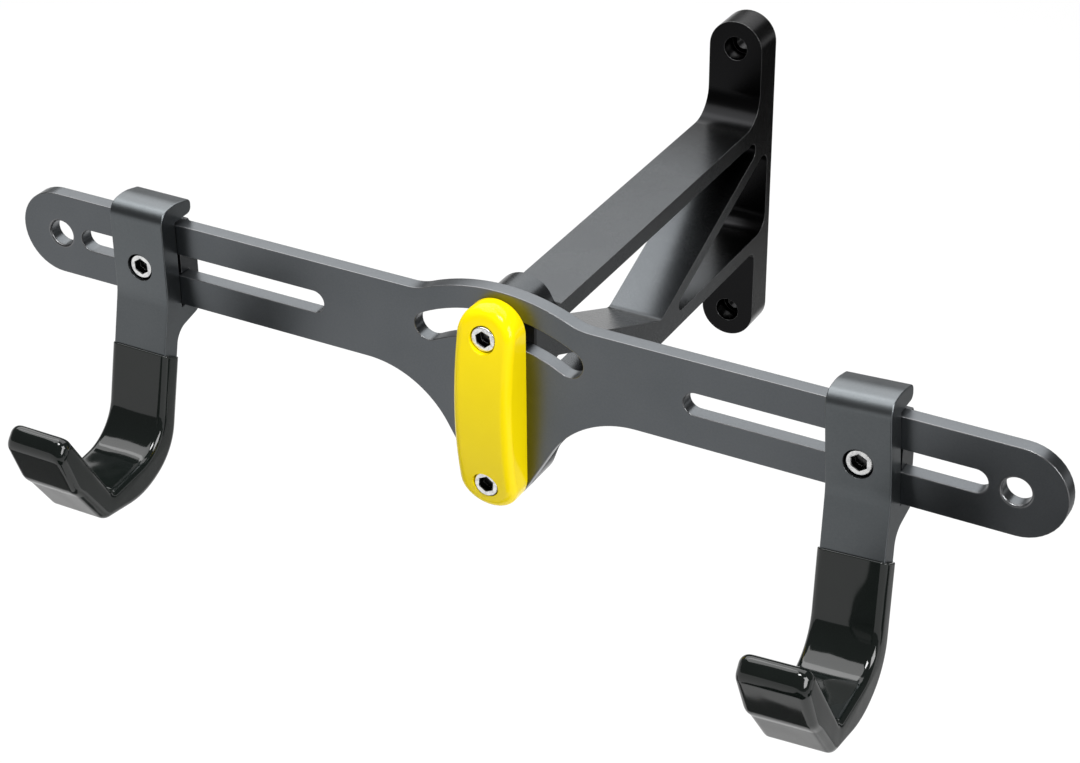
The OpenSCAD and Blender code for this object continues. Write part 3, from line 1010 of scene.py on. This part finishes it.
@dataclass
class SocketScrews:
    """The socket head screws of one body, made by one Geometry Nodes tree."""

    name: str
    body: str
    nodes: tuple[str, ...]
    places: list[tuple[float, float, float]]
    shank_len: float
    head_r: float = 5.0
    head_h: float = 6.0
    head_sides: int = 64
    socket_af: float = 5.4
    socket_depth: float = 3.0
    shank_r: float = 3.0
    shank_sides: int = 40
    overlap: float = 1.0
    turns: tuple[float, float] = (0.1, 0.9)
    seed: int = 7

    def tree(self) -> ShapeTree:
        """Builds the tree: one screw on each point, each turned by its own angle.

        Returns:
            The tree, with the screws' sizes as its inputs.
        """
        lengths = {
            "Head Radius": self.head_r,
            "Head Height": self.head_h,
            "Socket Width": self.socket_af,
            "Socket Depth": self.socket_depth,
            "Shank Radius": self.shank_r,
            "Shank Length": self.shank_len,
        }
        others = {"Seed": self.seed, "Finish": MATERIALS[SCREW_STEEL.name]}
        tree = ShapeTree("socket_screws", lengths, others)
        given = {key: tree.given.out(key) for key in tree.sizes}

        def rod(sides: int, radius: Value, depth: Value, middle: Value | float) -> Value:
            """A cylinder on the screw's axis.

            Args:
                sides: its number of sides.
                radius: its radius.
                depth: its length.
                middle: height of its middle.

            Returns:
                Its geometry.
            """
            inputs = {"Vertices": sides, "Radius": radius, "Depth": depth}
            raw = tree.node("GeometryNodeMeshCylinder", {}, inputs).out("Mesh")
            lift = tree.node("ShaderNodeCombineXYZ", {}, {"Z": middle}).out(0)
            moved = {"Geometry": raw, "Translation": lift}
            return tree.node("GeometryNodeTransform", {}, moved).out(0)

        height, length, lap = given["Head Height"], given["Shank Length"], self.overlap * MM
        head = rod(self.head_sides, given["Head Radius"], height, height * -0.5)
        hexagon = given["Socket Width"] / (2 * math.cos(math.pi / 6))
        socket = rod(6, hexagon, given["Socket Depth"] * 2, 0.0)
        drop = height * -1 - length / 2 + lap / 2
        shank = rod(self.shank_sides, given["Shank Radius"], length + lap, drop)
        settings = {"operation": "DIFFERENCE", "solver": "EXACT"}
        hollow = tree.node("GeometryNodeMeshBoolean", settings, {0: head, 1: socket}).out(0)
        screw = tree.node("GeometryNodeJoinGeometry", {}, {0: [hollow, shank]}).out(0)
        copies = {
            "Points": tree.given.out("Geometry"),
            "Instance": screw,
            "Rotation": (math.pi / 2, 0.0, 0.0),
        }
        standing = tree.node("GeometryNodeInstanceOnPoints", {}, copies).out(0)
        low, high = self.turns
        draw = {"Min": low, "Max": high, "Seed": given["Seed"]}
        chance = tree.node("FunctionNodeRandomValue", {"data_type": "FLOAT"}, draw).out("Value")
        turn = tree.node("ShaderNodeCombineXYZ", {}, {"Z": chance}).out(0)
        spun = {"Instances": standing, "Rotation": turn}
        tree.finish(tree.node("GeometryNodeRotateInstances", {}, spun).out(0))
        return tree

    def shade_sockets(self, piece: bpy.types.Object) -> None:
        """Gives the faces inside each socket the darker finish, a painted shade for the recess.

        Args:
            piece: the screws.
        """
        wear(piece, SCREW_STEEL, SOCKET_PAINTED_SHADE)
        reach = self.socket_af / 2 / math.cos(math.pi / 6) + 0.1
        top, bottom = 0.05, self.socket_depth + 0.2
        for face in piece.data.polygons:
            middle = face.center / MM
            inside = any(
                math.hypot(middle.x - x, middle.z - z) < reach and top < middle.y - y < bottom
                for x, y, z in self.places
            )
            face.material_index = int(inside)

    def build(self) -> None:
        """Builds and dresses the screws as one mesh."""
        screws = self.tree().grow(self.name, self.places)
        tidy_mesh(screws.data)
        EdgeBreak(0.45, 3).apply(screws)
        self.shade_sockets(screws)
        dress(screws, SCREW_STEEL, self.body, *self.nodes)


@dataclass
class WallBracket:
    """The truss bracket on the wall and the friction pad on its head."""

    body: str = "bracket"

    def build(self) -> None:
        """Builds and dresses both pieces."""
        frame = wear(fine_copy("wall_bracket", "bracket_profile"), BRACKET_COAT, BRACKET_WORN_HIGHLIT_EDGE)
        dress(EdgeBreak(0.5, 3, worn_highlit_edges=True).apply(frame), BRACKET_COAT, self.body, "wall_bracket")
        pad = wear(fine_copy("friction_pad", "clamp_pad"), PAD)
        dress(EdgeBreak(0.25, 2).apply(pad), PAD, self.body, "friction_pad")


@dataclass
class CrossBar:
    """The tilting bar with its slots."""

    body: str = "bar"

    def build(self) -> None:
        """Builds and dresses the bar."""
        bar = wear(fine_copy("cross_bar", "slotted_bar"), BAR_COAT, BAR_WORN_HIGHLIT_EDGE)
        dress(EdgeBreak(0.35, 3, worn_highlit_edges=True).apply(bar), BAR_COAT, self.body, "cross_bar")


@dataclass
class TiltClamp:
    """Crowned cover plate, bushes and clamp screws."""

    body: str = "bracket"
    half_length: float = 31.25
    end_r: float = 12.0
    thickness: float = 14.5
    crown_r: float = 143.0
    edge_r: float = 3.6
    edge_rows: int = 8
    rows: int = 19
    around: int = 161
    seam_mm: float = 0.01
    sink_r: float = 5.4
    head_h: float = 6.0
    past_y: float = -240.0
    screw_len: float = 20.0

    def cover_tree(self) -> ShapeTree:
        """Builds the cover: a sheet wrapped round a rounded plate and lowered by the crown.

        Returns:
            The tree, with the cover's sizes as its inputs.
        """
        lengths = {
            "Half Length": self.half_length,
            "End Radius": self.end_r,
            "Thickness": self.thickness,
            "Crown Radius": self.crown_r,
            "Edge Radius": self.edge_r,
            "Back": COVER_BACK_Y,
        }
        tree = ShapeTree("crowned_cover", lengths, {"Finish": MATERIALS[COVER_PAINT.name]})
        half, end, thick, crown, edge, back = (tree.given.out(key) for key in lengths)
        rows, steps = self.rows, self.edge_rows
        grid = {"Size X": 1.0, "Size Y": 1.0, "Vertices X": self.around, "Vertices Y": rows + 1}
        sheet = tree.node("GeometryNodeMeshGrid", {}, grid).out("Mesh")
        position = tree.node("GeometryNodeInputPosition", {}, {}).out(0)
        place = tree.node("ShaderNodeSeparateXYZ", {}, {0: position})
        straight = half * 2
        turn = (place.out("X") + 0.5) * 4
        row = (place.out("Y") + 0.5) * rows
        up, over, down, under = ((turn - quarter).clamped() for quarter in range(4))
        angle = (over + under) * math.pi
        wall = (row - 1).clamped()
        bend = ((row - 2) / steps).clamped() * (math.pi / 2)
        inner = ((row - 2 - steps) / (rows - 2 - steps)).clamped()
        reach = end * row.clamped() - edge * (1 - bend.cosine()) - (end - edge) * inner
        across = reach * angle.cosine()
        height = straight * (up - down) - half + reach * angle.sine()
        fall = crown - (crown * crown - height * height).root()
        depth = (thick - edge) * wall + edge * bend.sine() - wall * fall
        axes = {"X": across, "Y": back - depth, "Z": height}
        where = tree.node("ShaderNodeCombineXYZ", {}, axes).out(0)
        placed = {"Geometry": sheet, "Position": where}
        wrapped = tree.node("GeometryNodeSetPosition", {}, placed).out(0)
        seam = {"Geometry": wrapped, "Distance": self.seam_mm * MM}
        tree.finish(tree.node("GeometryNodeMergeByDistance", {}, seam).out(0))
        return tree

    def build(self) -> None:
        """Builds and dresses the pieces."""
        cover = self.cover_tree().grow("crowned_cover", [(0, COVER_BACK_Y, 0)])
        tidy_mesh(cover.data)
        sink_y = CLAMP_HEAD_Y + self.head_h
        hole = [(COVER_BACK_Y + 1, HOLE_R), (sink_y, HOLE_R)]
        sink = [(sink_y, self.sink_r), (self.past_y, self.sink_r)]
        cut(cover, [turned_cutter(hole + sink, 0, z) for z in (-CLAMP_Z, CLAMP_Z)])
        wear(cover, COVER_PAINT)
        dress(EdgeBreak(0.3, 3, 40.0).apply(cover), COVER_PAINT, self.body, "cover_plate")
        for name in ("slot_bush", "pivot_bush"):
            bush = wear(fine_copy(name, f"{name}_turned"), BUSH_STEEL)
            dress(EdgeBreak(0.3, 2).apply(bush), BUSH_STEEL, self.body, name)
        places = [(0.0, CLAMP_HEAD_Y, CLAMP_Z), (0.0, CLAMP_HEAD_Y, -CLAMP_Z)]
        nodes = ("tilt_lock_screw", "pivot_screw")
        SocketScrews("clamp_screws", self.body, nodes, places, self.screw_len).build()


@dataclass
class HookSet:
    """One hook with its coating, clamp plate and screw.

    The cutter for the screw's hole starts and ends at past_y, behind and before the hook.
    """

    side: Side
    x: float
    lean_deg: float = 0.0
    sink_r: float = 5.7
    sink_y: float = -2.0
    past_y: tuple[float, float] = (1.0, -12.0)
    screw_len: float = 14.0
    screw_seed: int = 11
    shape: HookShape = field(default_factory=HookShape)

    def stand(self) -> Matrix:
        """Where the hook's frame stands.

        Returns:
            Its place; the right one mirrors the left and leans.
        """
        place = Matrix.Translation(Vector((self.x, BAR_FRONT_Y, BAR_Z)) * MM)
        if self.side is Side.LEFT:
            return place
        lean = Matrix.Rotation(math.radians(self.lean_deg), 4, "Y")
        return place @ Matrix.Diagonal((-1, 1, 1, 1)) @ lean

    def settle(self, piece: bpy.types.Object) -> bpy.types.Object:
        """Moves a piece from the hook's frame to its place on the bar.

        Args:
            piece: the object.

        Returns:
            The same object.
        """
        piece.data.transform(self.stand())
        tidy_mesh(piece.data)
        return piece

    def metal(self) -> bpy.types.Object:
        """Builds the extruded profile with the counterbored hole for its screw.

        Returns:
            The object.
        """
        shape = self.shape
        corners = shape.metal()
        stations = shape.stations(shape.width / 2, shape.side_edge, shape.tip_corner)
        rings = [
            shape.ring(rounded(grown(corners, -shrink)), x, pull) for x, shrink, pull in stations
        ]
        hook = ring_solid(f"{self.side.value}_hook_profile", rings)
        back_y, front_y = self.past_y
        hole = [(back_y, HOLE_R), (self.sink_y, HOLE_R)]
        sink = [(self.sink_y, self.sink_r), (front_y, self.sink_r)]
        cut(hook, [turned_cutter(hole + sink, 0, 0)])
        self.settle(hook)
        wear(hook, HOOK_COAT, HOOK_WORN_HIGHLIT_EDGE)
        return EdgeBreak(0.35, 3, 40.0, worn_highlit_edges=True).apply(hook)

    def coating(self) -> bpy.types.Object:
        """Builds the dipped skin with its full round edges and its rolled upper lip.

        Returns:
            The object.
        """
        shape, lip = self.shape, self.shape.coat_lip_corner
        half = shape.width / 2 + shape.coat_side
        stations = shape.stations(half, shape.coat_edge, shape.tip_corner + shape.coat_side)
        rings = []
        for x, shrink, pull in stations:
            sink = lip - math.sqrt(max(0.0, lip**2 - max(0.0, abs(x) - half + lip) ** 2))
            outline = rounded(shape.dipped(shape.coat_t - shrink, sink))
            rings.append(shape.ring(outline, x, pull))
        skin = self.settle(ring_solid(f"{self.side.value}_dipped_coat", rings))
        skin.data.shade_smooth()
        return wear(skin, DIP)

    def build(self) -> None:
        """Builds and dresses the pieces."""
        side = self.side.value
        body = f"{side}_hook_set"
        dress(self.metal(), HOOK_COAT, body, f"{side}_hook")
        dress(self.coating(), DIP, body, f"{side}_hook_coating")
        plate = fine_copy(f"{side}_clamp_plate", f"{side}_clamp_block")
        wear(plate, CLAMP_COAT, HOOK_WORN_HIGHLIT_EDGE)
        dress(EdgeBreak(0.4, 3, worn_highlit_edges=True).apply(plate), CLAMP_COAT, body, f"{side}_clamp_plate")
        SocketScrews(
            f"{side}_hook_bolt", body, (f"{side}_hook_screw",), [(self.x, HOOK_HEAD_Y, BAR_Z)],
            self.screw_len, seed=self.screw_seed,
        ).build()


# ---------------------------------------------------------------------- studio


@dataclass(frozen=True)
class SoftLamp:
    """One rectangular soft lamp."""

    name: str
    place: tuple[float, float, float]
    aim: tuple[float, float, float]
    size: tuple[float, float]
    radiance: float

    def hang(self) -> None:
        """Puts the lamp into the scene."""
        data = bpy.data.lights.new(self.name, "AREA")
        data.shape = "RECTANGLE"
        data.size, data.size_y = self.size
        data.energy = self.radiance * math.pi * self.size[0] * self.size[1]
        lamp = bpy.data.objects.new(self.name, data)
        away = (Vector(self.place) - Vector(self.aim)).to_track_quat("Z", "Y")
        lamp.matrix_world = Matrix.Translation(self.place) @ away.to_matrix().to_4x4()
        bpy.context.scene.collection.objects.link(lamp)


@dataclass(frozen=True)
class DarkCard:
    """A card on the floor, darker than it, there for the gloss alone, as in a product studio."""

    name: str
    low: tuple[float, float]
    high: tuple[float, float]
    grey: float = 0.01
    roughness: float = 0.9

    def lay(self, height: float) -> None:
        """Lays the card out of the camera's and the light's way.

        Args:
            height: its z.
        """
        card = flat_sheet(self.name, self.low, self.high, height)
        colour = (self.grey, self.grey, self.grey, 1.0)
        paint = Shader(self.name).surface(Base_Color=colour, Roughness=self.roughness)
        card.data.materials.append(paint)
        card.visible_camera = card.visible_diffuse = card.visible_shadow = False


@dataclass
class Studio:
    """Pale floor with its cards, soft lamps, pale surround and the camera."""

    azimuth: float = 28.95
    elevation: float = 30.94
    roll: float = -0.52
    lens: float = 86.5
    sensor: float = 36.0
    clip: tuple[float, float] = (0.05, 200.0)
    distance: float = 0.9505
    target: tuple[float, float, float] = (0.01772, -0.2183, 0.0131)
    floor_z: float = -0.50
    floor_half: float = 60.0
    paper_grey: float = 0.85
    paper_glow: float = 0.85
    surround_light: float = 0.16
    card_lift: float = 0.002
    lamps: tuple[SoftLamp, ...] = (
        SoftLamp("overhead_panel", (-0.55, 0.78, 0.95), (-0.55, 0.78, 0.0), (2.3, 1.8), 2.5),
        SoftLamp("left_panel", (-0.48, -0.28, 1.00), (-0.30, -0.15, 0.0), (0.90, 0.80), 3.2),
        SoftLamp("front_key", (0.24, -0.72, 1.05), (0.0, -0.2, 0.0), (0.34, 0.30), 25.0),
        SoftLamp("right_fill", (1.75, -0.80, 0.85), (0.0, -0.2, 0.0), (0.9, 0.9), 9.5),
    )
    cards: tuple[DarkCard, ...] = (
        DarkCard("card_under_camera", (-0.06, -1.70), (0.75, -0.50)),
        DarkCard("card_right", (0.85, -0.32), (1.60, 0.35)),
        DarkCard("card_behind", (-0.10, 0.85), (1.80, 2.60)),
        DarkCard("card_side", (0.15, 0.15), (1.00, 0.85), 0.30),
        DarkCard("card_below_left", (-0.90, -0.50), (-0.25, -0.27), 0.10),
        DarkCard("card_below_arm", (-0.24, -0.385), (0.16, -0.27), 0.06),
        DarkCard("card_below_belly", (-0.90, -0.265), (0.16, 0.15), 0.50),
    )

    def camera(self) -> None:
        """Places the camera where the photograph was taken from."""
        az, el, roll = (math.radians(v) for v in (self.azimuth, self.elevation, self.roll))
        back = Vector((math.sin(az) * math.cos(el), -math.cos(az) * math.cos(el), math.sin(el)))
        right = Vector((math.cos(az), math.sin(az), 0.0))
        up = back.cross(right)
        turned = right * math.cos(roll) + up * math.sin(roll)
        upright = up * math.cos(roll) - right * math.sin(roll)
        data = bpy.data.cameras.new("camera")
        data.lens = self.lens
        data.sensor_width = self.sensor
        data.sensor_fit = "HORIZONTAL"
        data.clip_start, data.clip_end = self.clip
        camera = bpy.data.objects.new("camera", data)
        axes = Matrix((turned, upright, back)).transposed().to_4x4()
        eye = Vector(self.target) + back * self.distance
        camera.matrix_world = Matrix.Translation(eye) @ axes
        bpy.context.scene.collection.objects.link(camera)
        bpy.context.scene.camera = camera

    def floor(self) -> None:
        """Lays a pale floor well below the hanger."""
        half, grey = self.floor_half, self.paper_grey
        floor = flat_sheet("floor", (-half, -half), (half, half), self.floor_z)
        shader = Shader("floor_paper")
        path = shader.node("ShaderNodeLightPath", {}, {})
        straight, glossy, through = (
            path.out(f"Is {kind} Ray") for kind in ("Camera", "Glossy", "Transmission")
        )
        share = (straight + glossy + through).clamped() * self.paper_glow
        paper = shader.node("ShaderNodeBsdfDiffuse", {}, {"Color": (grey, grey, grey, 1.0)}).out(0)
        white = {"Color": (1, 1, 1, 1), "Strength": 1.0}
        glow = shader.node("ShaderNodeEmission", {}, white).out(0)
        both = shader.node("ShaderNodeMixShader", {}, {0: share, 1: paper, 2: glow}).out(0)
        shader.node("ShaderNodeOutputMaterial", {}, {"Surface": both})
        floor.data.materials.append(shader.material)

    def surround(self) -> None:
        """Sets a pale even surround."""
        world = bpy.data.worlds.new("surround")
        world.use_nodes = True
        back = world.node_tree.nodes["Background"]
        back.inputs[0].default_value = (1.0, 1.0, 1.0, 1.0)
        back.inputs[1].default_value = self.surround_light
        bpy.context.scene.world = world

    def build(self) -> None:
        """Builds the whole stage."""
        self.camera()
        self.floor()
        for lamp in self.lamps:
            lamp.hang()
        for card in self.cards:
            card.lay(self.floor_z + self.card_lift)
        self.surround()
        bpy.context.scene.view_settings.view_transform = "Standard"


def main() -> None:
    """Builds the stage and every sub-assembly."""
    logging.basicConfig(level=logging.INFO, format="%(message)s")
    FRAME.update(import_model())
    for finish in FINISHES:
        MATERIALS[finish.name] = finish.material()
    Studio().build()
    WallBracket().build()
    CrossBar().build()
    TiltClamp().build()
    HookSet(Side.LEFT, LEFT_HOOK_X).build()
    HookSet(Side.RIGHT, RIGHT_HOOK_X, RIGHT_LEAN_DEG).build()


if __name__ == "__main__":
    main()
